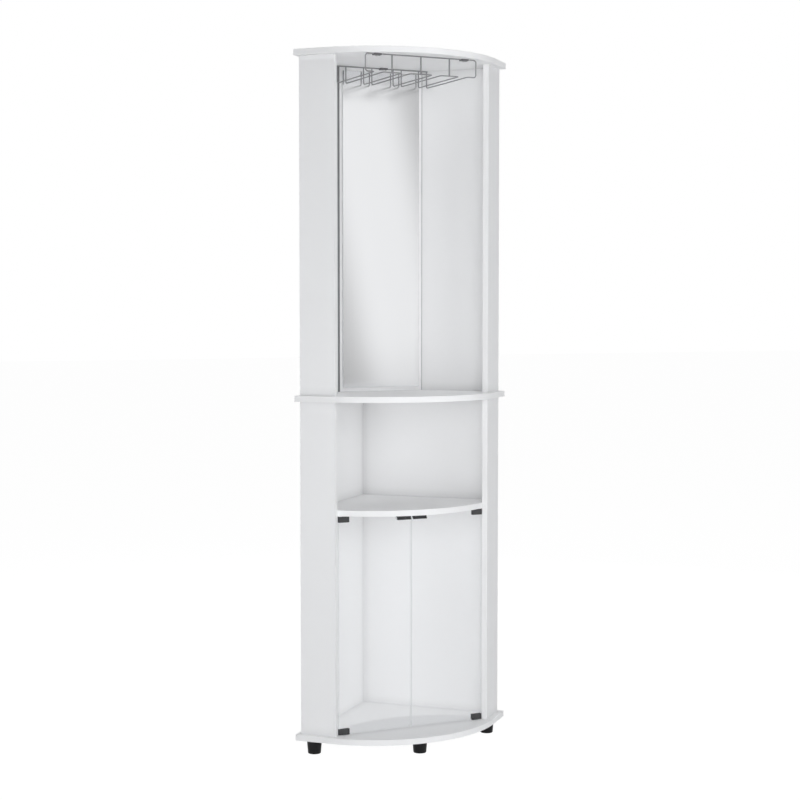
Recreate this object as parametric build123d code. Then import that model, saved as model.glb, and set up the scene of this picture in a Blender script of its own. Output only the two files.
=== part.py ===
from build123d import *
from math import cos, radians, sin, sqrt
import os

# Corner bar cabinet of white faced board, standing in the corner of a room on four feet.
# Lengths are millimetres and Z is up. The origin is on the floor, in the middle of the
# box round the cabinet. +Y points to the corner of the room and -Y to the viewer, so the
# round front of the boards faces -Y and the left-hand pieces have negative X.
# The boards and panels that follow the walls of the room are drawn in the corner frame:
# its origin is the rear corner of the boards, its X runs along the left wall of the room
# and its Y along the right wall. Doors, mirror and rack are drawn in the cabinet's frame.

# Boards, walls and wings
board_side = 430.0
straight_end = 95.0
board_thickness = 15.0
total_height = 1805.0
door_bay_height = 568.0
wall_setback = 15.0
wing_rear_setback = 9.0
wing_reach = 106.0
end_overhang = 15.0
shelf_arc_angle = 38.36
edge_band = 1.0

# Mirror on a panel across the rear corner of the upper bay
mirror_distance = 164.0
mirror_border = 10.0
mirror_thickness = 3.0
tape_thickness = 1.0
tape_width = 20.0
tape_inset = 15.0

# Glass doors and their pivot hinges
glass_thickness = 4.0
glass_arris = 0.5
door_gap = 3.0
pivot_to_wing = 7.9
hinge_radius = 7.0
hinge_length = 30.0
hinge_height = 15.0
hinge_wall = 2.5
hinge_floor = 1.2
hinge_end_wall = 1.6
hinge_chamfer = 0.8
pad_thickness = 0.5
pad_margin = 1.5
set_screw_diameter = 4.0
set_screw_key = 2.0
set_screw_key_depth = 1.5
pin_diameter = 4.0
pin_engagement = 7.0
bush_flange_diameter = 9.5
bush_flange = 1.0
bush_diameter = 6.0
bush_depth = 9.0
running_gap = 0.3

# Door handles and the stop behind the doors
handle_length = 40.0
handle_height = 16.5
handle_back_height = 10.0
handle_roof = 1.2
handle_wall = 2.0
handle_setback = 1.0
handle_lip = 4.0
stop_diameter = 6.0
stop_height = 8.0
stop_shank_length = 8.0

# Stemware rack, one frame of bent and welded wire, drawn with flat sides
wire_diameter = 3.0
wire_sides = 8
drop_diameter = 4.0
rack_height = 44.0
rack_depth = 242.0
rack_to_mirror = 8.0
inner_rod = 31.0
stem_pitch = 24.0
hook_width = 51.0
rack_end_reach = 25.0
wire_bend = 6.0
weld_overlap = 0.45

# Clips and screws that hold the rack under the top board
clip_length = 20.0
clip_height = 4.5
clip_lip = 3.0
clip_width = 15.0
clip_chamfer = 1.0
front_clip_place = 122.0
clip_screw_offset = 6.0
clip_screw_head = 5.5
clip_screw_head_height = 1.6
clip_screw_diameter = 3.0
clip_screw_length = 12.0

# Feet
foot_height = 38.0
foot_top_diameter = 40.0
foot_bottom_diameter = 33.5
foot_inset = 37.0
front_foot_inset = 58.0
foot_stud_diameter = 10.0
foot_stud_length = 11.0

# Hidden tenons of the boards and panels
tenon_thickness = 5.0
tenon_width = 30.0
tenon_face_bite = 9.0
tenon_edge_bite = 18.0
wall_tenon_shares = (0.3, 0.75)
wing_tenon_share = 0.5
upright_tenon_shares = (0.2, 0.8)
shelf_tenon_share = 0.5
panel_tenon_share = 0.6
fit_clearance = 0.05
overrun = 1.0
plug_sides = 12

# Levels, from the floor up
base_level = foot_height
base_top = base_level + board_thickness
section_height = (total_height - foot_height - 3 * board_thickness) / 2
middle_level = base_top + section_height
middle_top = middle_level + board_thickness
ceiling_level = middle_top + section_height
shelf_level = base_top + door_bay_height

# Places in plan, in the corner frame
front_radius = board_side - straight_end
wall_inner = wall_setback + board_thickness
wall_middle = (wall_setback + wall_inner) / 2
wing_outer = board_side - end_overhang
wing_inner = wing_outer - board_thickness
wing_middle = (wing_inner + wing_outer) / 2
panel_reach = wing_reach - edge_band

# Distances straight out from the rear corner of the boards, and the corner frame
outline_depth = sqrt(2) * straight_end + front_radius
wall_corner = sqrt(2) * wall_inner
mirror_back = mirror_distance + tape_thickness
mirror_front = mirror_back + mirror_thickness
door_distance = (wing_inner + wing_reach) / sqrt(2)
front_foot_distance = outline_depth - front_foot_inset
corner_frame = Location((0, outline_depth / 2, 0), (0, 0, -135))


def depth_at(distance):
    """Y of the place that lies at this distance straight out from the rear corner."""
    return outline_depth / 2 - distance


def block(x_span, y_span, z_span):
    """Box between a low and a high value on each axis."""
    spans = (x_span, y_span, z_span)
    size = [high - low for low, high in spans]
    middle = [(high + low) / 2 for low, high in spans]
    return Pos(*middle) * Box(*size)


def disc(diameter, low, high):
    """Round bar on the Z axis between two levels."""
    return Pos(0, 0, low) * extrude(Circle(diameter / 2), amount=high - low)


def plug(diameter, low, high):
    """Bar on the Z axis with flat sides, for a stud or a shank that is hidden in a board."""
    return Pos(0, 0, low) * extrude(RegularPolygon(diameter / 2, plug_sides), amount=high - low)


def turned(points):
    """Solid turned about Z from an outline of (radius, level) points."""
    return revolve(Plane.XZ * make_face(Polyline(*points, close=True)), Axis.Z)


def opposite(shape):
    """The same piece on the other side of the cabinet."""
    return mirror(shape, about=Plane.YZ)


def cut(shape, tools):
    """The shape without several tools."""
    for tool in tools:
        shape = shape - tool
    return shape


def save(name, shape):
    """Write one node. A list of pieces becomes a group of separate solids."""
    if isinstance(shape, list):
        shape = Compound(children=[piece.solid() for piece in shape])
    else:
        shape = shape.solid()
    shape.label = name
    export_step(shape, f"parts/{name}.step")


os.makedirs("parts", exist_ok=True)

# Loose tenons
# They join the boards and panels and don't show. Each one stands in a slot in the face of
# one piece and in the edge of the next.


def tenon(depth, clearance=0):
    """Tenon of some depth below the joint, and let into an edge above it. Clearance makes its slot."""
    half_width = tenon_width / 2 + clearance
    half_thickness = tenon_thickness / 2 + clearance
    length = (-depth - clearance, tenon_edge_bite + clearance)
    return block((-half_width, half_width), (-half_thickness, half_thickness), length)


def joint(point, into_edge, widthwise):
    """Place of a tenon: Z points into the edge, and X lies along its width."""
    return Plane(origin=point, x_dir=widthwise, z_dir=into_edge).location


up, down = (0, 0, 1), (0, 0, -1)
left_run, right_run = (1, 0, 0), (0, 1, 0)
left_back, right_back = (-1, 0, 0), (0, -1, 0)
through_depth = board_thickness + tenon_edge_bite
wall_length = wing_inner - wall_inner
wing_line = wing_rear_setback + wing_tenon_share * (wing_reach - wing_rear_setback)


def uprights(level, into_edge):
    """Places of the tenons between a board and the edges of both walls and wings."""
    places = []
    for share in wall_tenon_shares:
        line = wall_inner + share * wall_length
        places.append(joint((line, wall_middle, level), into_edge, left_run))
        places.append(joint((wall_middle, line, level), into_edge, right_run))
    places.append(joint((wing_middle, wing_line, level), into_edge, right_run))
    places.append(joint((wing_line, wing_middle, level), into_edge, left_run))
    return places


corner_joints, wing_joints = [], []
for low in (base_top, middle_top):
    for share in upright_tenon_shares:
        level = low + share * section_height
        corner_joints.append(joint((wall_middle, wall_inner, level), right_run, up))
        wing_joints.append(joint((wing_inner, wall_middle, level), left_back, up))
        wing_joints.append(joint((wall_middle, wing_inner, level), right_back, up))
shelf_middle = shelf_level + board_thickness / 2
shelf_line = wall_inner + shelf_tenon_share * wall_length
shelf_joints = [
    joint((shelf_line, wall_inner, shelf_middle), right_run, left_run),
    joint((wall_inner, shelf_line, shelf_middle), left_run, right_run),
    joint((wing_inner, wing_line, shelf_middle), left_back, right_run),
    joint((wing_line, wing_inner, shelf_middle), right_back, left_run),
]
panel_middle = mirror_distance - board_thickness / 2
panel_place = panel_tenon_share * (panel_middle - wall_corner)
panel_joints = [
    corner_frame.inverse() * joint((side * panel_place, depth_at(panel_middle), level), into_edge, left_run)
    for side in (-1, 1)
    for level, into_edge in ((middle_top, up), (ceiling_level, down))
]

tenons = {
    "top_board_tenons": (tenon_face_bite, uprights(ceiling_level, down)),
    "middle_board_tenons": (through_depth, uprights(middle_top, up)),
    "base_board_tenons": (tenon_face_bite, uprights(base_top, up)),
    "corner_tenons": (tenon_face_bite, corner_joints),
    "wing_tenons": (tenon_face_bite, wing_joints),
    "shelf_tenons": (tenon_face_bite, shelf_joints),
    "mirror_panel_tenons": (tenon_face_bite, panel_joints),
}
tenon_slots = []
for name, (depth, places) in tenons.items():
    save(name, [corner_frame * place * tenon(depth) for place in places])
    tenon_slots += [place * tenon(depth, fit_clearance) for place in places]


def fitted(shape, tools=()):
    """A piece drawn in the corner frame, with its tenon slots, in the cabinet's frame."""
    box = shape.bounding_box()
    near = [slot for slot in tenon_slots if box.overlaps(slot.bounding_box())]
    return cut(corner_frame * cut(shape, near), tools)


# Feet
# Tapered plastic feet, each pressed into the base board with a stud moulded on its top.
top_radius = foot_top_diameter / 2
bottom_radius = foot_bottom_diameter / 2
stud_top = foot_height + foot_stud_length
foot = turned(
    [
        (0, 0),
        (bottom_radius, 0),
        (top_radius, foot_height),
        (0, foot_height),
    ]
)
foot = foot + plug(foot_stud_diameter, foot_height, stud_top)
side_foot = board_side - foot_inset
corners = ((side_foot, foot_inset), (foot_inset, side_foot), (foot_inset, foot_inset))
foot_places = [corner_frame * Pos(x, y, 0) for x, y in corners]
foot_places.append(Pos(0, depth_at(front_foot_distance), 0))
save("feet", [place * foot for place in foot_places])
stud_hole = plug(foot_stud_diameter + 2 * fit_clearance, base_level - overrun, stud_top + fit_clearance)
stud_holes = [place * stud_hole for place in foot_places]

# Pivots of the doors
# Each pin turns in a bush with a thin flange, let into the base board or the inner shelf.
door_half = glass_thickness / 2
pivot_x = (wing_inner - wing_reach) / sqrt(2) - pivot_to_wing
pivot_y = depth_at(door_distance)
bush_bore = pin_diameter + 2 * fit_clearance


def at_pivots(shape):
    """A shape drawn about the vertical axis of a pivot, at all four pivots."""
    return [
        Pos(side * pivot_x, pivot_y, level) * Rot(turn, 0, 0) * shape
        for level, turn in ((base_top, 0), (shelf_level, 180))
        for side in (-1, 1)
    ]


bush = disc(bush_diameter, -bush_depth, 0) + disc(bush_flange_diameter, 0, bush_flange)
bush = bush - disc(bush_bore, -bush_depth - overrun, bush_flange + overrun)
save("pivot_bushes", at_pivots(bush))
bush_seat = disc(bush_diameter + 2 * fit_clearance, -bush_depth - fit_clearance, overrun)
low_left_seat, low_right_seat, high_left_seat, high_right_seat = at_pivots(bush_seat)

# Door stop
# A peg stands just behind the middle of the closed doors.
stop_distance = door_distance - door_half - running_gap - stop_diameter / 2
stop_place = Pos(0, depth_at(stop_distance), base_top)
save("door_stop", stop_place * disc(stop_diameter, -stop_shank_length, stop_height))
peg_hole = disc(stop_diameter + 2 * fit_clearance, -stop_shank_length - fit_clearance, overrun)
stop_hole = stop_place * peg_hole

# Stemware rack
# The outer wire drops behind, runs forward as the outermost rods and turns out and up to
# the front top wire. Three hooks give the inner rods. A wire welded across the uprights
# and three thicker drops behind the front wires hold it all together.
wire_radius = wire_diameter / 2
rack_rear = depth_at(mirror_front + rack_to_mirror)
rack_front = rack_rear - rack_depth
rack_top = ceiling_level - wire_radius
rack_bottom = rack_top - rack_height
outer_rod = inner_rod + stem_pitch + hook_width + stem_pitch
upright_end = rack_top + weld_overlap
bend_share = 1 - sqrt(1 / 2)
weld_step = wire_diameter - weld_overlap
drop_step = (wire_diameter + drop_diameter) / 2 - weld_overlap
drop_place = inner_rod + stem_pitch + hook_width / 2


def rod(diameter, low, high):
    """Straight wire on the Z axis between two levels."""
    return Pos(0, 0, low) * extrude(RegularPolygon(diameter / 2, wire_sides), amount=high - low)


def wire(points):
    """Wire along straight runs, each corner bent in two short slanting runs."""
    route = [Vector(*point) for point in points]
    path = [route[0]]
    for before, corner, after in zip(route, route[1:], route[2:]):
        start = corner + (before - corner).normalized() * wire_bend
        end = corner + (after - corner).normalized() * wire_bend
        path += [start, corner + (start + end - corner * 2) * bend_share, end]
    path.append(route[-1])
    section = Plane(origin=route[0], z_dir=route[1] - route[0]) * RegularPolygon(wire_radius, wire_sides)
    return sweep(section, path=Polyline(*path), transition=Transition.RIGHT)


outer_end = outer_rod + rack_end_reach
half_frame = [
    (outer_rod, rack_rear, upright_end),
    (outer_rod, rack_rear, rack_bottom),
    (outer_rod, rack_front, rack_bottom),
    (outer_end, rack_front, rack_bottom),
    (outer_end, rack_front, rack_top),
]
frame_route = [(-x, y, z) for x, y, z in half_frame] + half_frame[::-1]
rack = wire(frame_route)
for low, high in (
    (-outer_rod + stem_pitch, -inner_rod - stem_pitch),
    (-inner_rod, inner_rod),
    (inner_rod + stem_pitch, outer_rod - stem_pitch),
):
    hook_route = [
        (low, rack_rear, upright_end),
        (low, rack_rear, rack_bottom),
        (low, rack_front, rack_bottom),
        (high, rack_front, rack_bottom),
        (high, rack_rear, rack_bottom),
        (high, rack_rear, upright_end),
    ]
    rack = rack + wire(hook_route)
cross_end = outer_rod + wire_radius
rear_wire = Rot(0, 90, 0) * rod(wire_diameter, -cross_end, cross_end)
rack = rack + Pos(0, rack_rear - weld_step, rack_top) * rear_wire
for place in (-drop_place, 0, drop_place):
    drop = rod(drop_diameter, rack_bottom - wire_radius, upright_end)
    rack = rack + Pos(place, rack_front + drop_step, 0) * drop
save("stemware_rack", rack)

# Rack clips
# Each clip presses a top wire of the rack against the ceiling, with a screw beside it.
clip_level = ceiling_level - clip_height
clip_outer = wire_radius + clip_lip
clip_edge = clip_outer - clip_width
groove_radius = wire_radius + fit_clearance
clip_profile = make_face(
    Polyline(
        (-clip_outer, ceiling_level),
        (-clip_outer, clip_level + clip_chamfer),
        (-clip_outer + clip_chamfer, clip_level),
        (-clip_edge - clip_chamfer, clip_level),
        (-clip_edge, clip_level + clip_chamfer),
        (-clip_edge, ceiling_level),
        close=True,
    )
)
clip = extrude(Plane.YZ * clip_profile, amount=clip_length / 2, both=True)
groove_level = ceiling_level - wire_diameter
groove = block(
    (-clip_length, clip_length),
    (-groove_radius, groove_radius),
    (groove_level, ceiling_level + overrun),
)


shank = plug(clip_screw_diameter, 0, clip_screw_length)
head = disc(clip_screw_head, -clip_screw_head_height, 0)
shank_hole = plug(clip_screw_diameter + 2 * fit_clearance, -overrun, clip_screw_length + fit_clearance)
screw_place = Pos(0, clip_screw_offset, clip_level)
clip_screw = screw_place * (shank + head)
clip_screw_hole = screw_place * shank_hole
clip = clip - groove - clip_screw_hole
clip_places = [Pos(side * front_clip_place, rack_front, 0) for side in (-1, 1)]
clip_places.append(Pos(0, rack_rear - weld_step, 0) * Rot(0, 0, 180))
save("rack_clips", [place * clip for place in clip_places])
save("rack_clip_screws", [place * clip_screw for place in clip_places])
clip_screw_holes = [place * clip_screw_hole for place in clip_places]

# Boards
# Top, middle and base board: a quarter-round front between two straight ends, with an
# edge band along the front.


def round_front(side):
    """Outline of a board with sides of this length."""
    radius = side - straight_end
    return make_face(
        [
            Line((0, 0), (side, 0)),
            Line((side, 0), (side, straight_end)),
            CenterArc((straight_end, straight_end), radius, 0, 90),
            Line((straight_end, side), (0, side)),
            Line((0, side), (0, 0)),
        ]
    )


board_outline = round_front(board_side - edge_band)
band_outline = round_front(board_side) - board_outline
board_cuts = {
    "top": (total_height - board_thickness, clip_screw_holes),
    "middle": (middle_level, []),
    "base": (base_level, stud_holes + [low_left_seat, low_right_seat, stop_hole]),
}
for name, (level, tools) in board_cuts.items():
    board = Pos(0, 0, level) * extrude(board_outline, amount=board_thickness)
    band = Pos(0, 0, level) * extrude(band_outline, amount=board_thickness)
    save(f"{name}_board", fitted(board, tools))
    save(f"{name}_edge_band", corner_frame * band)

# Inner shelf
# It closes the door bay from above. It fits between the walls and the wings, and its
# front bulges in an arc from one wing to the other.
half_chord = (wing_inner - wing_reach) / sqrt(2)
shelf_radius = half_chord / sin(radians(shelf_arc_angle))
shelf_centre = door_distance / sqrt(2) - shelf_radius * cos(radians(shelf_arc_angle)) / sqrt(2)


def shelf_arc(radius):
    """The front arc, from the left wing to the right one, and its end at the left wing."""
    reach = shelf_centre + sqrt(radius**2 - (wing_inner - shelf_centre) ** 2)
    bulge = shelf_centre + radius / sqrt(2)
    return ThreePointArc((wing_inner, reach), (bulge, bulge), (reach, wing_inner)), reach


front_arc, front_reach = shelf_arc(shelf_radius)
core_arc, core_reach = shelf_arc(shelf_radius - edge_band)
shelf_core = make_face(
    [
        Line((wall_inner, wall_inner), (wing_inner, wall_inner)),
        Line((wing_inner, wall_inner), (wing_inner, core_reach)),
        core_arc,
        Line((core_reach, wing_inner), (wall_inner, wing_inner)),
        Line((wall_inner, wing_inner), (wall_inner, wall_inner)),
    ]
)
shelf_strip = make_face(
    [
        front_arc,
        Line((front_reach, wing_inner), (core_reach, wing_inner)),
        core_arc,
        Line((wing_inner, core_reach), (wing_inner, front_reach)),
    ]
)
shelf = Pos(0, 0, shelf_level) * extrude(shelf_core, amount=board_thickness)
shelf_band = Pos(0, 0, shelf_level) * extrude(shelf_strip, amount=board_thickness)
save("inner_shelf", fitted(shelf, [high_left_seat, high_right_seat]))
save("shelf_edge_band", corner_frame * shelf_band)

# Walls and wings
# The walls stand along the walls of the room, the right one butted against the left one.
# The wings stand square to them at the ends and carry the doors between their front edges.
wing_bands = []
for name, low, high in (("lower", base_top, middle_level), ("upper", middle_top, ceiling_level)):
    height = (low, high)
    left_wall = block((wall_setback, wing_inner), (wall_setback, wall_inner), height)
    right_wall = block((wall_setback, wall_inner), (wall_inner, wing_inner), height)
    left_wing = block((wing_inner, wing_outer), (wing_rear_setback, panel_reach), height)
    right_wing = block((wing_rear_setback, panel_reach), (wing_inner, wing_outer), height)
    save(f"{name}_left_wall", fitted(left_wall))
    save(f"{name}_right_wall", fitted(right_wall))
    save(f"{name}_left_wing", fitted(left_wing))
    save(f"{name}_right_wing", fitted(right_wing))
    wing_bands.append(block((wing_inner, wing_outer), (panel_reach, wing_reach), height))
    wing_bands.append(block((panel_reach, wing_reach), (wing_inner, wing_outer), height))
save("wing_edge_bands", [corner_frame * band for band in wing_bands])

# Mirror
# A panel with mitred ends stands across the rear corner, and the mirror is taped to it.


def panel_half(distance):
    """Half the width between the walls at this distance from the rear corner."""
    return distance - wall_corner


panel_back = mirror_distance - board_thickness
back_half, front_half = panel_half(panel_back), panel_half(mirror_distance)
panel_outline = make_face(
    Polyline(
        (-back_half, depth_at(panel_back)),
        (-front_half, depth_at(mirror_distance)),
        (front_half, depth_at(mirror_distance)),
        (back_half, depth_at(panel_back)),
        close=True,
    )
)
mirror_panel = Pos(0, 0, middle_top) * extrude(panel_outline, amount=section_height)
save("mirror_panel", fitted(corner_frame.inverse() * mirror_panel))
mirror_half = front_half - mirror_border
mirror_low, mirror_high = middle_top + mirror_border, ceiling_level - mirror_border
mirror_depth = (depth_at(mirror_front), depth_at(mirror_back))
save("mirror_glass", block((-mirror_half, mirror_half), mirror_depth, (mirror_low, mirror_high)))
tape_outer = mirror_half - tape_inset
tape_depth = (depth_at(mirror_back), depth_at(mirror_distance))
tape_height = (mirror_low + tape_inset, mirror_high - tape_inset)
left_tape = block((-tape_outer, -tape_outer + tape_width), tape_depth, tape_height)
middle_tape = block((-tape_width / 2, tape_width / 2), tape_depth, tape_height)
save("mirror_tapes", [left_tape, middle_tape, opposite(left_tape)])

# Doors
# Frameless glass, held at two corners by clips with a pivot pin, and with a handle pushed
# over the top edge. Drawn as the left door, about its pivots, and mirrored for the right.
clip_gap = bush_flange + running_gap
hinge_low = base_top + clip_gap
hinge_high = shelf_level - clip_gap
glass_low = hinge_low + hinge_floor
glass_high = hinge_high - hinge_floor
glass_outer = -pivot_x - hinge_radius + hinge_end_wall
glass_inner = -door_gap / 2
glass_back = pivot_y + door_half
glass_front = pivot_y - door_half
glass = block((glass_outer, glass_inner), (glass_front, glass_back), (glass_low, glass_high))
glass = chamfer(glass.edges(), glass_arris)

slot_half = door_half + pad_thickness
hinge_half = slot_half + hinge_wall
hinge_end = hinge_length - hinge_radius
slot_end = -hinge_radius + hinge_end_wall
round_start = -sqrt(hinge_radius**2 - hinge_half**2)
hinge_outline = make_face(
    [
        Line((round_start, hinge_half), (hinge_end, hinge_half)),
        Line((hinge_end, hinge_half), (hinge_end, -hinge_half)),
        Line((hinge_end, -hinge_half), (round_start, -hinge_half)),
        ThreePointArc((round_start, -hinge_half), (-hinge_radius, 0), (round_start, hinge_half)),
    ]
)
pin_length = clip_gap + pin_engagement
set_screw_place = Pos((slot_end + hinge_end) / 2, hinge_half, hinge_height / 2) * Rot(-90, 0, 0)


def set_screw(clearance=0):
    """Headless screw through the rear plate of a hinge."""
    return disc(set_screw_diameter + 2 * clearance, -hinge_wall - clearance, clearance)


hinge = extrude(hinge_outline, amount=hinge_height)
end_edges = hinge.edges().filter_by(Axis.Z).filter_by_position(Axis.X, hinge_end, hinge_end)
hinge = chamfer(end_edges, hinge_chamfer)
hinge = hinge - block((slot_end, hinge_length), (-slot_half, slot_half), (hinge_floor, 2 * hinge_height))
hinge = hinge + disc(pin_diameter, -pin_length, 0)
hinge = hinge - set_screw_place * set_screw(fit_clearance)
key = extrude(RegularPolygon(set_screw_key / 2, 6, major_radius=False), amount=set_screw_key_depth)
hinge_screw = set_screw_place * (set_screw() - Pos(0, 0, -set_screw_key_depth) * key)
pad = block(
    (slot_end + pad_margin, hinge_end - pad_margin),
    (door_half, slot_half),
    (hinge_floor, hinge_height - pad_margin),
)
bottom_hinge_place = Pos(-pivot_x, pivot_y, hinge_low)
top_hinge_place = Pos(-pivot_x, pivot_y, hinge_high)


def upside_down(shape):
    """The piece of a bottom hinge as it is in the top hinge."""
    return mirror(shape, about=Plane.XY)


bottom_pads = [pad, mirror(pad, about=Plane.XZ)]
hinge_pads = [bottom_hinge_place * piece for piece in bottom_pads]
hinge_pads += [top_hinge_place * upside_down(piece) for piece in bottom_pads]

handle_inner = glass_inner - handle_setback
handle_top = glass_high + handle_roof
handle_outside = door_half + handle_wall
flare_level = handle_top - handle_back_height
handle_bottom = handle_top - handle_height
handle_profile = make_face(
    Polyline(
        (handle_outside, handle_top),
        (handle_outside, flare_level),
        (door_half, flare_level),
        (door_half, glass_high),
        (-door_half, glass_high),
        (-door_half, flare_level),
        (-door_half - handle_lip, handle_bottom),
        (-handle_outside - handle_lip, handle_bottom),
        (-handle_outside, flare_level),
        (-handle_outside, handle_top),
        close=True,
    )
)
handle = Pos(handle_inner, pivot_y, 0) * extrude(Plane.YZ * handle_profile, amount=-handle_length)

door_pieces = {
    "door_glass": [glass],
    "handle": [handle],
    "bottom_hinge": [bottom_hinge_place * hinge],
    "top_hinge": [top_hinge_place * upside_down(hinge)],
    "hinge_pads": hinge_pads,
    "hinge_screws": [bottom_hinge_place * hinge_screw, top_hinge_place * upside_down(hinge_screw)],
}
for name, pieces in door_pieces.items():
    save(f"left_{name}", pieces)
    save(f"right_{name}", [opposite(piece) for piece in pieces])
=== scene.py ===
from math import cos, pi, radians, sin

import bmesh
import bpy
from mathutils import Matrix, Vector
from mathutils.bvhtree import BVHTree


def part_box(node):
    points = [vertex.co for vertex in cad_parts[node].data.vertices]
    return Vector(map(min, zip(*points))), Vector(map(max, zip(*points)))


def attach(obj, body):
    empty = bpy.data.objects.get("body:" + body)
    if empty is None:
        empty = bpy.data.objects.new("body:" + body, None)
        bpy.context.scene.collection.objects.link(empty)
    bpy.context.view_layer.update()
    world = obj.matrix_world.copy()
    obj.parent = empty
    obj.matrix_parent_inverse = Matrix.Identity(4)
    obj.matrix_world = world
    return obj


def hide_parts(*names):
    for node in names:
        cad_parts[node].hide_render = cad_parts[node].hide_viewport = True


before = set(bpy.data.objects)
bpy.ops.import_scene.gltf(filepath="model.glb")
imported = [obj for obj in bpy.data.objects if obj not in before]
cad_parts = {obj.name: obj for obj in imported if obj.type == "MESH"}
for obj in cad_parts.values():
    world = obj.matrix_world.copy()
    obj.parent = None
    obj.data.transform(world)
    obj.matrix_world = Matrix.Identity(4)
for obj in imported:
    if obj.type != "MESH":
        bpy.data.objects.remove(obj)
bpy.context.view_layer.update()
scene = bpy.context.scene


# Base board: 15 mm particle board with a white melamine face that has a fine pearl
# texture. It is cut to a quarter round on the front, and everything else stands on it.


class Link:
    """One output in a node tree. Sums, differences and products with it add Math nodes."""

    def __init__(self, tree, socket=None):
        self.tree, self.socket = tree, socket

    def node(self, kind, values=(), out=0, **settings):
        """A new node: its settings first, then the values or links of its sockets."""
        made = self.tree.nodes.new(kind)
        for name, value in settings.items():
            setattr(made, name, value)
        for key, value in dict(values).items():
            if isinstance(value, Link):
                self.tree.links.new(value.socket, made.inputs[key])
            else:
                made.inputs[key].default_value = value
        return Link(self.tree, made.outputs[out] if made.outputs else None)

    def maths(self, operation, *values):
        return self.node("ShaderNodeMath", enumerate(values), operation=operation)

    def __add__(self, other):
        return self.maths("ADD", self, other)

    def __sub__(self, other):
        return self.maths("SUBTRACT", self, other)

    def __rsub__(self, other):
        return self.maths("SUBTRACT", other, self)

    def __mul__(self, other):
        return self.maths("MULTIPLY", self, other)

    __radd__, __rmul__ = __add__, __mul__

    def vectors(self, operation, *values, out="Vector"):
        """Vector Math on vectors. Its result is a vector or, with out="Value", a number."""
        return self.node("ShaderNodeVectorMath", enumerate(values), out, operation=operation)

    def tint(self, low, high):
        """Colour between two colours, plain ones or links, by this value from 0 to 1."""
        low, high = (shade if isinstance(shade, Link) else (*shade, 1) for shade in (low, high))
        # A Mix node's two colours are its inputs 6 and 7, and output 2 is their mixture.
        return self.node("ShaderNodeMix", {0: self, 6: low, 7: high}, 2, data_type="RGBA")

    def ease(self, low, high, start_at, end_at):
        """Smooth change from one value to another as this one goes from low to high."""
        spans = {"Value": self, "From Min": low, "From Max": high, "To Min": start_at, "To Max": end_at}
        return self.node("ShaderNodeMapRange", spans, interpolation_type="SMOOTHSTEP")

    def place(self):
        """Place on the piece itself, in metres."""
        return self.node("ShaderNodeTexCoord", out="Object")

    def noise(self, grains, detail=3, roughness=0.5):
        """Noise from 0 to 1 on the piece itself, with this many grains to a metre."""
        sizes = {"Vector": self.place(), "Scale": grains, "Detail": detail, "Roughness": roughness}
        return self.node("ShaderNodeTexNoise", sizes)

    def bump(self, height, depth):
        """Normal of a surface with this relief, its full height being depth metres."""
        return self.node("ShaderNodeBump", {"Height": height, "Distance": depth, "Strength": 1})


def cleared(block):
    """Start of an empty shader tree in a material or in the world."""
    block.use_nodes = True
    block.node_tree.nodes.clear()
    return Link(block.node_tree)


def finish_of(name, surface):
    """Material from a function that gives its shader, or the sockets of a Principled one."""
    made = bpy.data.materials.new(name)
    start = cleared(made)
    shader = surface(start)
    if isinstance(shader, dict):
        shader = start.node("ShaderNodeBsdfPrincipled", shader)
    start.node("ShaderNodeOutputMaterial", {"Surface": shader})
    return made


def melamine(start, shade_reach=0.025):
    """White board face, with painted shade: a little greyer in corners that lie within reach of each
    other.
    """
    cloud = start.noise(2.5, detail=2)
    pearl = start.noise(900, detail=4, roughness=0.6)
    open_air = start.node("ShaderNodeAmbientOcclusion", {"Distance": shade_reach}, "AO", samples=8)
    face = (cloud * 0.7 + pearl * 0.3).tint((0.92, 0.92, 0.922), (0.942, 0.942, 0.944))
    return {
        # Painted shade: ambient occlusion greys the board's colour in corners, creases and gaps between
        # pieces.
        "Base Color": open_air.tint((0.72, 0.72, 0.724), face),
        "Roughness": pearl * 0.12 + 0.54,
        "Normal": start.bump(pearl, depth=0.00002),
        "Specular IOR Level": 0.22,
    }


flush_gap = 0.0001
merge_gap = 0.000001
flat_turn, sharp_turn = radians(0.5), radians(30)


def touching(shape, others):
    """Edges of a shape that lie flush against other pieces of the frame, end to end."""
    near = set()
    for name in others:
        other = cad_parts[name].data
        corners = [point.co for point in other.vertices]
        skin = BVHTree.FromPolygons(corners, [face.vertices for face in other.polygons])
        near.update(point for point in shape.verts if skin.find_nearest(point.co)[3] < flush_gap)
    return {edge for edge in shape.edges if near.issuperset(edge.verts)}


def mark_arrises(shape, flush):
    """Mark the sharp edges for rounding, apart from those flush against other pieces."""
    kept = touching(shape, flush)
    weights = shape.edges.layers.float.new("bevel_weight_edge")
    for edge in shape.edges:
        sharp = edge.calc_face_angle(0) > sharp_turn
        edge[weights] = float(sharp and edge not in kept)
        edge.smooth = not (sharp and edge in kept)
    for face in shape.faces:
        face.smooth = True


def placed(name, data):
    """New object in the scene, at the origin, with this mesh, lamp or camera in it."""
    made = bpy.data.objects.new(name, data)
    scene.collection.objects.link(made)
    return made


def plain_mesh(source):
    """Mesh of an object with its modifiers applied. The object itself is removed."""
    shaped = source.evaluated_get(bpy.context.evaluated_depsgraph_get())
    made = bpy.data.meshes.new_from_object(shaped)
    bpy.data.objects.remove(source)
    return made


def stand_in(made, node, body):
    """Show this object in place of a piece of the frame, on its body."""
    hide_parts(node)
    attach(made, body)


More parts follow.
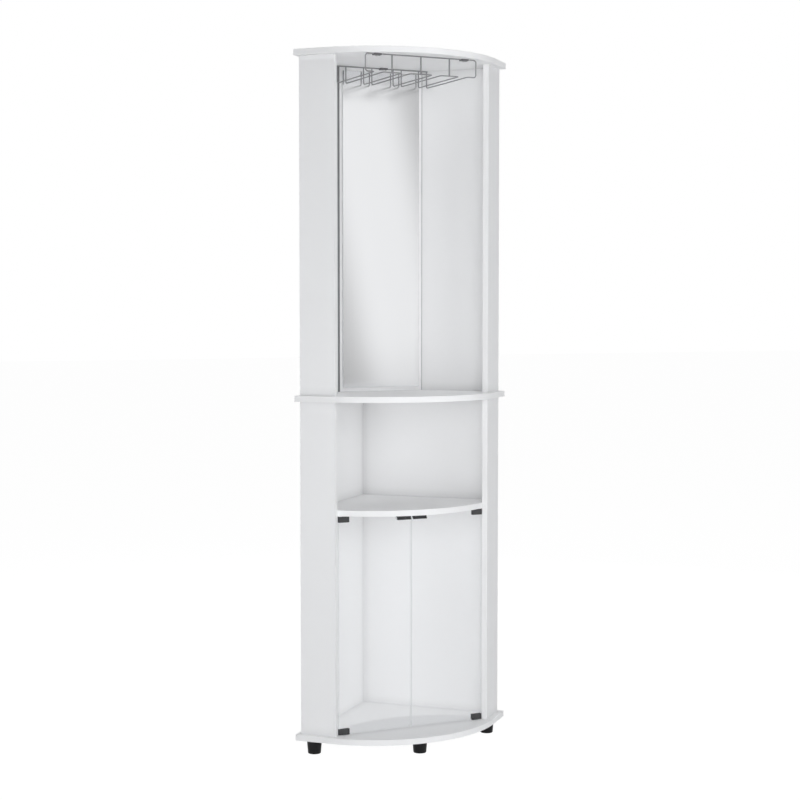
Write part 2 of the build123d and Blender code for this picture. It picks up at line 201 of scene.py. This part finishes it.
def eased(node, finish, radius, flush=(), steps=2, body="carcass"):
    """Fine copy of a piece of the frame, with its free edges rounded off by a small radius."""
    shape = bmesh.new()
    shape.from_mesh(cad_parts[node].data)
    bmesh.ops.remove_doubles(shape, verts=shape.verts, dist=merge_gap)
    bmesh.ops.dissolve_limit(shape, angle_limit=flat_turn, verts=shape.verts, edges=shape.edges)
    mark_arrises(shape, flush)
    mesh = bpy.data.meshes.new(node)
    shape.to_mesh(mesh)
    shape.free()
    mesh.materials.append(finish)
    source = placed(node, mesh)
    easing = source.modifiers.new("easing", "BEVEL")
    easing.limit_method, easing.width, easing.segments = "WEIGHT", radius, steps
    source.modifiers.new("even shading", "WEIGHTED_NORMAL").keep_sharp = True
    made = placed(f"{node}_eased", plain_mesh(source))
    stand_in(made, node, body)
    return made


# Painted shade: every piece with this finish is painted greyer where it meets or nears other pieces.
white_board = finish_of("white melamine", melamine)
board_arris = 0.0003
eased("base_board", white_board, board_arris, ["base_edge_band"])


# Base edge band: a strip of white plastic, 1 mm thick, glued round the front of the
# base board. It is smoother and a little brighter than the board.
def band_plastic(start):
    grain = start.noise(1600, detail=2)
    return {
        "Base Color": start.noise(14, detail=2).tint((0.9, 0.9, 0.9), (0.92, 0.92, 0.92)),
        "Roughness": grain * 0.08 + 0.38,
        "Normal": start.bump(grain, depth=0.000008),
        "Specular IOR Level": 0.25,
    }


white_edge = finish_of("white edge plastic", band_plastic)
band_arris = 0.0004
eased("base_edge_band", white_edge, band_arris, ["base_board"])


# Feet: tapered feet of black plastic, moulded with a fine grain and pressed into the
# base board with the stud on top of each.
def moulded_black(start):
    grain = start.noise(1500, detail=3, roughness=0.6)
    return {
        "Base Color": start.noise(60, detail=2).tint((0.008, 0.008, 0.009), (0.014, 0.014, 0.015)),
        "Roughness": grain * 0.2 + 0.38,
        "Normal": start.bump(grain, depth=0.00005),
        "Specular IOR Level": 0.15,
    }


black_plastic = finish_of("black moulded plastic", moulded_black)
foot_round = 0.0014
eased("feet", black_plastic, foot_round, steps=4)


# Door stop and pivot bushes: turned pegs and flanged bushes of white nylon, pushed into
# holes in the base board and in the inner shelf.
def nylon(start):
    grain = start.noise(700, detail=2)
    return {
        "Base Color": grain.tint((0.9, 0.9, 0.89), (0.95, 0.95, 0.94)),
        "Roughness": grain * 0.1 + 0.3,
        "Normal": start.bump(grain, depth=0.00001),
    }


white_plastic = finish_of("white nylon", nylon)
nylon_arris = 0.0003
for name in ("door_stop", "pivot_bushes"):
    eased(name, white_plastic, nylon_arris)


# Lower walls: two backs of the same white board, which stand at a right angle on the
# base board, one butted against the other.
for name in ("lower_left_wall", "lower_right_wall"):
    eased(name, white_board, board_arris)


# Lower wings: short panels of the same white board, which close the walls' front ends at a
# right angle. Tenons hold them, and their long edges are banded when all wings stand.
for name in ("lower_left_wing", "lower_right_wing"):
    eased(name, white_board, board_arris, ["wing_edge_bands"])


# Loose tenons: flat strips of raw beech with rounded edges. They sit tight in slots of the
# boards and panels that they join, and none of them shows.
def beech(start):
    lengthways = start.node("ShaderNodeMapping", {"Vector": start.place(), "Scale": (1, 1, 0.1)})
    grain = start.node("ShaderNodeTexNoise", {"Vector": lengthways, "Scale": 700, "Detail": 4})
    return {
        "Base Color": grain.tint((0.36, 0.22, 0.11), (0.58, 0.4, 0.23)),
        "Roughness": grain * 0.2 + 0.6,
        "Normal": start.bump(grain, depth=0.0001),
    }


def dress(node, finish):
    """Give a piece of the frame, as it is, its finish."""
    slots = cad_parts[node].data.materials
    slots.clear()
    slots.append(finish)


tenon_wood = finish_of("raw beech", beech)
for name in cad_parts:
    if name.endswith("tenons"):
        dress(name, tenon_wood)


# Inner shelf: white board, cut to fit between the walls and the wings and held on tenons.
# Its front has an edge band of its own, and the doors' upper pins turn in its underside.
eased("inner_shelf", white_board, board_arris, ["shelf_edge_band"])
eased("shelf_edge_band", white_edge, band_arris, ["inner_shelf"])


# Middle board: the counter of the bar, of the same board as the base and cut to the same
# quarter round. A band is glued round its front, and tenons join it to the walls.
eased("middle_board", white_board, board_arris, ["middle_edge_band"])
eased("middle_edge_band", white_edge, band_arris, ["middle_board"])


# Upper walls and wings: the same white board as below, cut to the height of the upper bay
# and set on the middle board. White bands are glued to the long edges of all four wings.
panel_low, panel_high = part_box("mirror_panel")
panel_half, panel_face = panel_high.x, panel_low.y
wall_turn = radians(45)


def board_with_painted_joint_shade(side, step, core, fade, shade_reach=0.025):
    """The same board, with a painted line of shade down the joint beside the mirror panel.

    The line lies a step along the wall from the panel's front corner on that side, -1 for
    left. It is dark as far as core from its middle and fades out at fade.
    """
    away_x, away_y = side * step * sin(wall_turn), -step * cos(wall_turn)
    middle = (side * panel_half + away_x, panel_face + away_y, 0)

    def surface(start):
        offset = start.vectors("SUBTRACT", start.place(), middle)
        level = start.vectors("MULTIPLY", offset, (1, 1, 0))
        line = 1 - start.vectors("LENGTH", level, out="Value").ease(core, fade, 0, 1)
        board = melamine(start, shade_reach)
        # Painted shade: the line darkens the board's colour towards dark grey.
        board["Base Color"] = line.tint(board["Base Color"], (0.21, 0.21, 0.215))
        return board

    return finish_of("white melamine with painted joint shade", surface)


# Painted shade: a line of shade is painted down each upper wall at its joint with the mirror panel,
# broad on the left and a hairline on the right.
left_joint_shade_finish = board_with_painted_joint_shade(-1, step=0.0043, core=0.0035, fade=0.0075)
right_joint_shade_finish = board_with_painted_joint_shade(1, step=0.00015, core=0.0003, fade=0.0014)
eased("upper_left_wall", left_joint_shade_finish, board_arris)
eased("upper_right_wall", right_joint_shade_finish, board_arris)
for name in ("upper_left_wing", "upper_right_wing"):
    eased(name, white_board, board_arris, ["wing_edge_bands"])
wings = [f"{level}_{side}_wing" for level in ("lower", "upper") for side in ("left", "right")]
eased("wing_edge_bands", white_edge, band_arris, wings)


# Mirror panel: white board with mitred ends, which stands across the rear corner between
# middle board and top board. Tenons hold it, and it carries the mirror.
# Painted shade: the panel's left end is darkened too, which carries on the painted line of shade at the
# left joint. Its painted corner shade reaches only 1 mm.
panel_joint_shade_finish = board_with_painted_joint_shade(-1, step=0, core=0.0012, fade=0.0028, shade_reach=0.001)
eased("mirror_panel", panel_joint_shade_finish, board_arris)


# Mirror: 3 mm glass, silvered behind, with eased edges. Strips of white foam tape hold it
# to the panel.
def foam(start):
    cells = start.noise(1200, detail=3)
    return {
        "Base Color": cells.tint((0.7, 0.7, 0.69), (0.8, 0.8, 0.79)),
        "Roughness": cells * 0.1 + 0.8,
        "Normal": start.bump(cells, depth=0.0001),
    }


def silvered(start):
    haze = start.noise(6, detail=3)
    return {
        "Base Color": haze.tint((0.885, 0.892, 0.906), (0.905, 0.912, 0.926)),
        "Metallic": 1,
        "Roughness": haze * 0.01 + 0.16,
    }


dress("mirror_tapes", finish_of("white foam tape", foam))
mirror_silver = finish_of("silvered glass", silvered)
mirror_arris = 0.0004
eased("mirror_glass", mirror_silver, mirror_arris)


# Top board: white board with the same quarter round and a glued band of its own. It closes
# the cabinet, and the rack for stemmed glasses hangs under it.
eased("top_board", white_board, board_arris, ["top_edge_band"])
eased("top_edge_band", white_edge, band_arris, ["top_board"])


# Stemware rack: 3 mm wire, bent cold and spot welded where the wires cross, then plated.
# The outer wire carries three hooks, a cross wire behind and three thicker drops.
def plated(start):
    drift = start.noise(40, detail=3)
    return {
        "Base Color": drift.tint((0.34, 0.343, 0.35), (0.41, 0.413, 0.42)),
        "Metallic": 1,
        "Roughness": drift * 0.1 + 0.34,
        "Normal": start.bump(start.noise(900, detail=2), depth=0.00001),
    }


def wire_bender():
    """Geometry Nodes that turn the edges of a mesh into round wire, bent at its corners."""
    tree = bpy.data.node_groups.new("bent wire", "GeometryNodeTree")
    kinds = {"Route": "Geometry", "Wire radius": "Float", "Bend radius": "Float", "Finish": "Material"}
    inputs = {}
    for name, kind in kinds.items():
        socket = tree.interface.new_socket(name, in_out="INPUT", socket_type=f"NodeSocket{kind}")
        inputs[name] = socket.identifier
    tree.interface.new_socket("Wire", in_out="OUTPUT", socket_type="NodeSocketGeometry")
    given = {socket.name: Link(tree, socket) for socket in tree.nodes.new("NodeGroupInput").outputs}
    start = Link(tree)
    line = start.node("GeometryNodeMeshToCurve", {"Mesh": given["Route"]})
    bends = {"Curve": line, "Count": 8, "Radius": given["Bend radius"], "Limit Radius": True}
    line = start.node("GeometryNodeFilletCurve", bends, mode="POLY")
    round_wire = {"Resolution": 16, "Radius": given["Wire radius"]}
    ring = start.node("GeometryNodeCurvePrimitiveCircle", round_wire)
    sweep = {"Curve": line, "Profile Curve": ring, "Fill Caps": True}
    wire = start.node("GeometryNodeCurveToMesh", sweep)
    wire = start.node("GeometryNodeSetShadeSmooth", {"Geometry": wire})
    wire = start.node("GeometryNodeRealizeInstances", {"Geometry": wire})
    wire = start.node("GeometryNodeSetMaterial", {"Geometry": wire, "Material": given["Finish"]})
    start.node("NodeGroupOutput", {0: wire})
    return tree, inputs


rack_wire = finish_of("plated wire", plated)
wire_radius, drop_radius, bend_radius = 0.0015, 0.002, 0.007
bent_wire, wire_inputs = wire_bender()


def bend(name, routes, radius):
    """Wire along each route, as a plain mesh."""
    points, edges = [], []
    for route in routes:
        first = len(points)
        points += route
        edges += [(index, index + 1) for index in range(first, len(points) - 1)]
    mesh = bpy.data.meshes.new(name)
    mesh.from_pydata(points, edges, [])
    source = placed(name, mesh)
    maker = source.modifiers.new("bent wire", "NODES")
    maker.node_group = bent_wire
    maker[wire_inputs["Wire radius"]] = radius
    maker[wire_inputs["Bend radius"]] = bend_radius
    maker[wire_inputs["Finish"]] = rack_wire
    return plain_mesh(source)


rack_low, rack_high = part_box("stemware_rack")
outer_end = rack_high.x - wire_radius
front, rear = rack_low.y + wire_radius, rack_high.y - wire_radius
bottom, top = rack_low.z + wire_radius, rack_high.z - wire_radius
upright_end = top + wire_radius / 3
weld_depth = 0.00045
inner_rod, stem_gap, hook_width = 0.031, 0.024, 0.051
hook_near = inner_rod + stem_gap
hook_far = hook_near + hook_width
outer_rod = hook_far + stem_gap

right_half = [
    (outer_rod, rear, upright_end),
    (outer_rod, rear, bottom),
    (outer_rod, front, bottom),
    (outer_end, front, bottom),
    (outer_end, front, top),
]
wires = [[(-x, y, z) for x, y, z in right_half] + right_half[::-1]]
for left, right in ((-hook_far, -hook_near), (-inner_rod, inner_rod), (hook_near, hook_far)):
    left_half = [(left, rear, upright_end), (left, rear, bottom), (left, front, bottom)]
    wires.append(left_half + [(right, y, z) for _, y, z in reversed(left_half)])
cross_end, cross_y = outer_rod + wire_radius, rear - 2 * wire_radius + weld_depth
wires.append([(-cross_end, cross_y, top), (cross_end, cross_y, top)])
drop_x, drop_y = hook_near + hook_width / 2, front + wire_radius + drop_radius - weld_depth
drop_foot = bottom - wire_radius
drops = [[(x, drop_y, drop_foot), (x, drop_y, upright_end)] for x in (-drop_x, 0, drop_x)]

rack_mesh = bend("rack wires", wires, wire_radius)
joined = bmesh.new()
joined.from_mesh(rack_mesh)
joined.from_mesh(bend("rack drops", drops, drop_radius))
joined.to_mesh(rack_mesh)
joined.free()
rack = placed("wire_rack", rack_mesh)
stand_in(rack, "stemware_rack", "carcass")


# Rack clips: moulded blocks of grey plastic with a groove for the wire. A screw of zinc
# plated steel holds each to the top board.
def satin(low, high, least_roughness):
    """Satin plastic that drifts between two shades."""

    def surface(start):
        grain = start.noise(1300, detail=3, roughness=0.6)
        return {
            "Base Color": start.noise(50, detail=2).tint(low, high),
            "Roughness": grain * 0.15 + least_roughness,
            "Normal": start.bump(grain, depth=0.00003),
        }

    return surface


def zinc(start):
    grain = start.noise(500, detail=4)
    return {
        "Base Color": grain.tint((0.5, 0.5, 0.5), (0.66, 0.66, 0.65)),
        "Metallic": 1,
        "Roughness": grain * 0.2 + 0.3,
        "Normal": start.bump(grain, depth=0.00001),
    }


clip_plastic = finish_of("grey satin plastic", satin((0.12, 0.12, 0.123), (0.15, 0.15, 0.154), 0.4))
steel = finish_of("zinc plated steel", zinc)
clip_arris, screw_arris = 0.0004, 0.0003
eased("rack_clips", clip_plastic, clip_arris)
eased("rack_clip_screws", steel, screw_arris)


# Door panes: 4 mm tempered glass, clear and almost without colour, with ground edges. Each
# hangs between its two pivot hinges.
def rays(start, *kinds):
    """One link for each kind of ray, which is 1 for rays of that kind and otherwise 0."""
    path = start.tree.nodes.new("ShaderNodeLightPath")
    return [Link(start.tree, path.outputs[f"Is {kind} Ray"]) for kind in kinds]


def pane_glass(start):
    """Clear glass, which lets the lamps' light straight through."""
    sockets = {
        "Base Color": start.noise(5, detail=2).tint((0.984, 0.988, 0.993), (0.99, 0.993, 0.997)),
        "Roughness": 0,
        "IOR": 1.52,
        "Transmission Weight": 1,
        "Coat Weight": 1,
        "Coat IOR": 1.95,
        "Coat Roughness": 0,
    }
    glass = start.node("ShaderNodeBsdfPrincipled", sockets)
    clear = start.node("ShaderNodeBsdfTransparent", {"Color": (0.985, 0.987, 0.99, 1)})
    lit = start.maths("MAXIMUM", *rays(start, "Shadow", "Diffuse"))
    return start.node("ShaderNodeMixShader", {0: lit, 1: glass, 2: clear})


def ground(start):
    frost = start.noise(600, detail=3)
    return {
        "Base Color": frost.tint((0.87, 0.885, 0.885), (0.91, 0.925, 0.925)),
        "Roughness": frost * 0.15 + 0.4,
        "Normal": start.bump(frost, depth=0.00002),
    }


clear_glass = finish_of("clear glass", pane_glass)
ground_edge = finish_of("ground glass edge", ground)
pane_arris = 0.0001
face_on = 0.9
for side in ("left", "right"):
    name = f"{side}_door_glass"
    pane = eased(name, clear_glass, pane_arris, body=f"{side}_door")
    pane.data.materials.append(ground_edge)
    for face in pane.data.polygons:
        # The clear faces look along Y, and all others belong to the ground edges.
        face.material_index = int(abs(face.normal.y) < face_on)


# Door fittings: moulded shoes with a pivot pin grip the panes' outer corners through rubber
# pads, pressed by a set screw of steel. A pull clips on each inner top corner.
def rubber(start):
    grain = start.noise(900, detail=2)
    return {
        "Base Color": grain.tint((0.02, 0.02, 0.02), (0.035, 0.035, 0.035)),
        "Roughness": grain * 0.1 + 0.75,
        "Normal": start.bump(grain, depth=0.00005),
    }


dark_plastic = finish_of("dark satin plastic", satin((0.03, 0.03, 0.031), (0.045, 0.045, 0.047), 0.32))
pad_rubber = finish_of("soft black rubber", rubber)
fitting_round, small_arris = 0.0005, 0.0001
for side in ("left", "right"):
    door = f"{side}_door"
    for name in ("handle", "bottom_hinge", "top_hinge"):
        eased(f"{side}_{name}", dark_plastic, fitting_round, steps=3, body=door)
    eased(f"{side}_hinge_pads", pad_rubber, small_arris, body=door)
    eased(f"{side}_hinge_screws", steel, small_arris, body=door)


# Studio: a pale floor that takes the cabinet's shadow, and white all round. To the camera,
# in shiny metal and through glass, both look almost plain white.
def studio_sheet(name, corners, finish):
    """Flat sheet with four corners, not part of the cabinet."""
    mesh = bpy.data.meshes.new(name)
    mesh.from_pydata(corners, [], [(0, 1, 2, 3)])
    mesh.materials.append(finish)
    made = placed(name, mesh)
    return made


def seen_directly(start):
    """1 for the rays that show the surroundings, 0 for those that only carry their light."""
    camera, gloss, through = rays(start, "Camera", "Glossy", "Transmission")
    return start.maths("MINIMUM", camera + gloss + through, 1)


def glow(start, strength):
    """White light of this strength."""
    return start.node("ShaderNodeEmission", {"Color": (1, 1, 1, 1), "Strength": strength})


def pale_floor(start):
    drift = start.noise(3, detail=3).tint((0.94, 0.94, 0.94), (0.96, 0.96, 0.96))
    paint = start.node("ShaderNodeBsdfDiffuse", {"Color": drift})
    thin_paint = start.node("ShaderNodeBsdfDiffuse", {"Color": (0.08, 0.08, 0.08, 1)})
    shown = start.node("ShaderNodeAddShader", {0: thin_paint, 1: glow(start, strength=0.98)})
    return start.node("ShaderNodeMixShader", {0: seen_directly(start), 1: paint, 2: shown})


floor_reach = 30
floor_corners = [(x * floor_reach, y * floor_reach, 0) for x, y in ((-1, -1), (1, -1), (1, 1), (-1, 1))]
studio_sheet("floor", floor_corners, finish_of("pale floor", pale_floor))


def surroundings(start):
    """White all round, whose own light is faint and comes more from above."""
    heading = start.node("ShaderNodeTexCoord", out="Generated")
    rise = start.vectors("DOT_PRODUCT", heading, (0, 0, 1), out="Value")
    overhead = start.maths("POWER", start.maths("MAXIMUM", rise, 0), 3)
    faint = {"Color": (0.975, 0.985, 1, 1), "Strength": overhead * 0.1 + 0.03}
    lit = start.node("ShaderNodeBackground", faint)
    shown = start.node("ShaderNodeBackground", {"Color": (1, 1, 1, 1), "Strength": 1})
    return start.node("ShaderNodeMixShader", {0: seen_directly(start), 1: lit, 2: shown})


scene.world = bpy.data.worlds.new("white studio")
start = cleared(scene.world)
start.node("ShaderNodeOutputWorld", {"Surface": surroundings(start)})


# Lit card: a tall card in front, which shows only in the mirror and on other shiny faces.
# It has a bright strip that leans a little, with a faint fold in it, between greyer fields.
strip_lean = 0.23
near_edge, near_field, strip_light = (0.694, 0.7615), 0.515, 1.065
fold_in, fold_shade = (0.806, 0.866), 0.86
fold_out, fold_light = (0.9035, 0.971), 1.1
far_edge, far_shade = (1.0455, 1.094), 0.475
foot_edge, foot_shade = (0.831, 1.0405), 0.8


def card_light(start):
    """Light of the card, which changes at soft edges that are given in metres."""
    across = start.vectors("DOT_PRODUCT", start.place(), (1, 0, strip_lean), out="Value")
    height = start.vectors("DOT_PRODUCT", start.place(), (0, 0, 1), out="Value")
    strip = across.ease(*near_edge, near_field, strip_light) * across.ease(*far_edge, 1, far_shade)
    fold = across.ease(*fold_in, 1, fold_shade) * across.ease(*fold_out, 1, fold_light)
    return glow(start, strip * fold * height.ease(*foot_edge, foot_shade, 1))


card_y = -1.2
card_left, card_right = -0.3, 2.2
card_foot, card_head = 0.7, 2.9
card_corners = [
    (card_left, card_y, card_foot),
    (card_right, card_y, card_foot),
    (card_right, card_y, card_head),
    (card_left, card_y, card_head),
]
card = studio_sheet("lit card", card_corners, finish_of("lit card", card_light))
card.visible_camera = card.visible_diffuse = card.visible_transmission = card.visible_shadow = False


# Lamps: square softboxes round the cabinet, all turned to its middle. No shiny face and no
# pane shows them, because the card and the white all round are what is reflected.
lamp_target = Vector((0, 0, 0.9))
daylight = (0.975, 0.985, 1)


def softbox(name, turn, rise, away, size, power):
    """Lamp at so many degrees to the right of the front and above the level, and so far away."""
    turn, rise = radians(turn), radians(rise)
    back = Vector((sin(turn) * cos(rise), -cos(turn) * cos(rise), sin(rise)))
    light = bpy.data.lights.new(name, "AREA")
    light.shape, light.size, light.energy, light.color = "SQUARE", size, power, daylight
    lamp = placed(name, light)
    lamp.location = lamp_target + back * away
    lamp.rotation_euler = back.to_track_quat("Z", "Y").to_euler()
    lamp.visible_glossy = lamp.visible_transmission = lamp.visible_camera = False


softbox("softbox by the camera", turn=-25, rise=2, away=4, size=2.5, power=20.5)
softbox("softbox in front", turn=30, rise=2, away=4, size=2.5, power=55)
softbox("softbox low on the left", turn=-40, rise=-6, away=3, size=1.2, power=17)
softbox("softbox over the camera", turn=-15, rise=20, away=3.5, size=2, power=20)
softbox("softbox overhead", turn=0, rise=70, away=5, size=2.5, power=55)
softbox("softbox straight above", turn=0, rise=90, away=3.5, size=1.5, power=8)
softbox("softbox behind on the left", turn=-135, rise=8, away=3, size=1.5, power=17)
softbox("softbox behind on the right", turn=135, rise=8, away=3, size=1.5, power=17)


# Camera: at the photograph's place, which was worked out from the cabinet's own straight
# lines and quarter rounds, with the same field of view.
focal_pixels, picture_pixels = 1652.49, 800
sensor_width = 36
yaw, pitch = radians(24.678), radians(3.302)
camera_data = bpy.data.cameras.new("camera")
camera_data.sensor_width = sensor_width
camera_data.lens = focal_pixels / picture_pixels * sensor_width
camera_data.clip_end = 200
camera = placed("camera", camera_data)
camera.location = (-1.81633, -4.00615, 1.16137)
camera.rotation_euler = (pi / 2 - pitch, 0, -yaw)
scene.camera = camera
scene.view_settings.view_transform = "Standard"
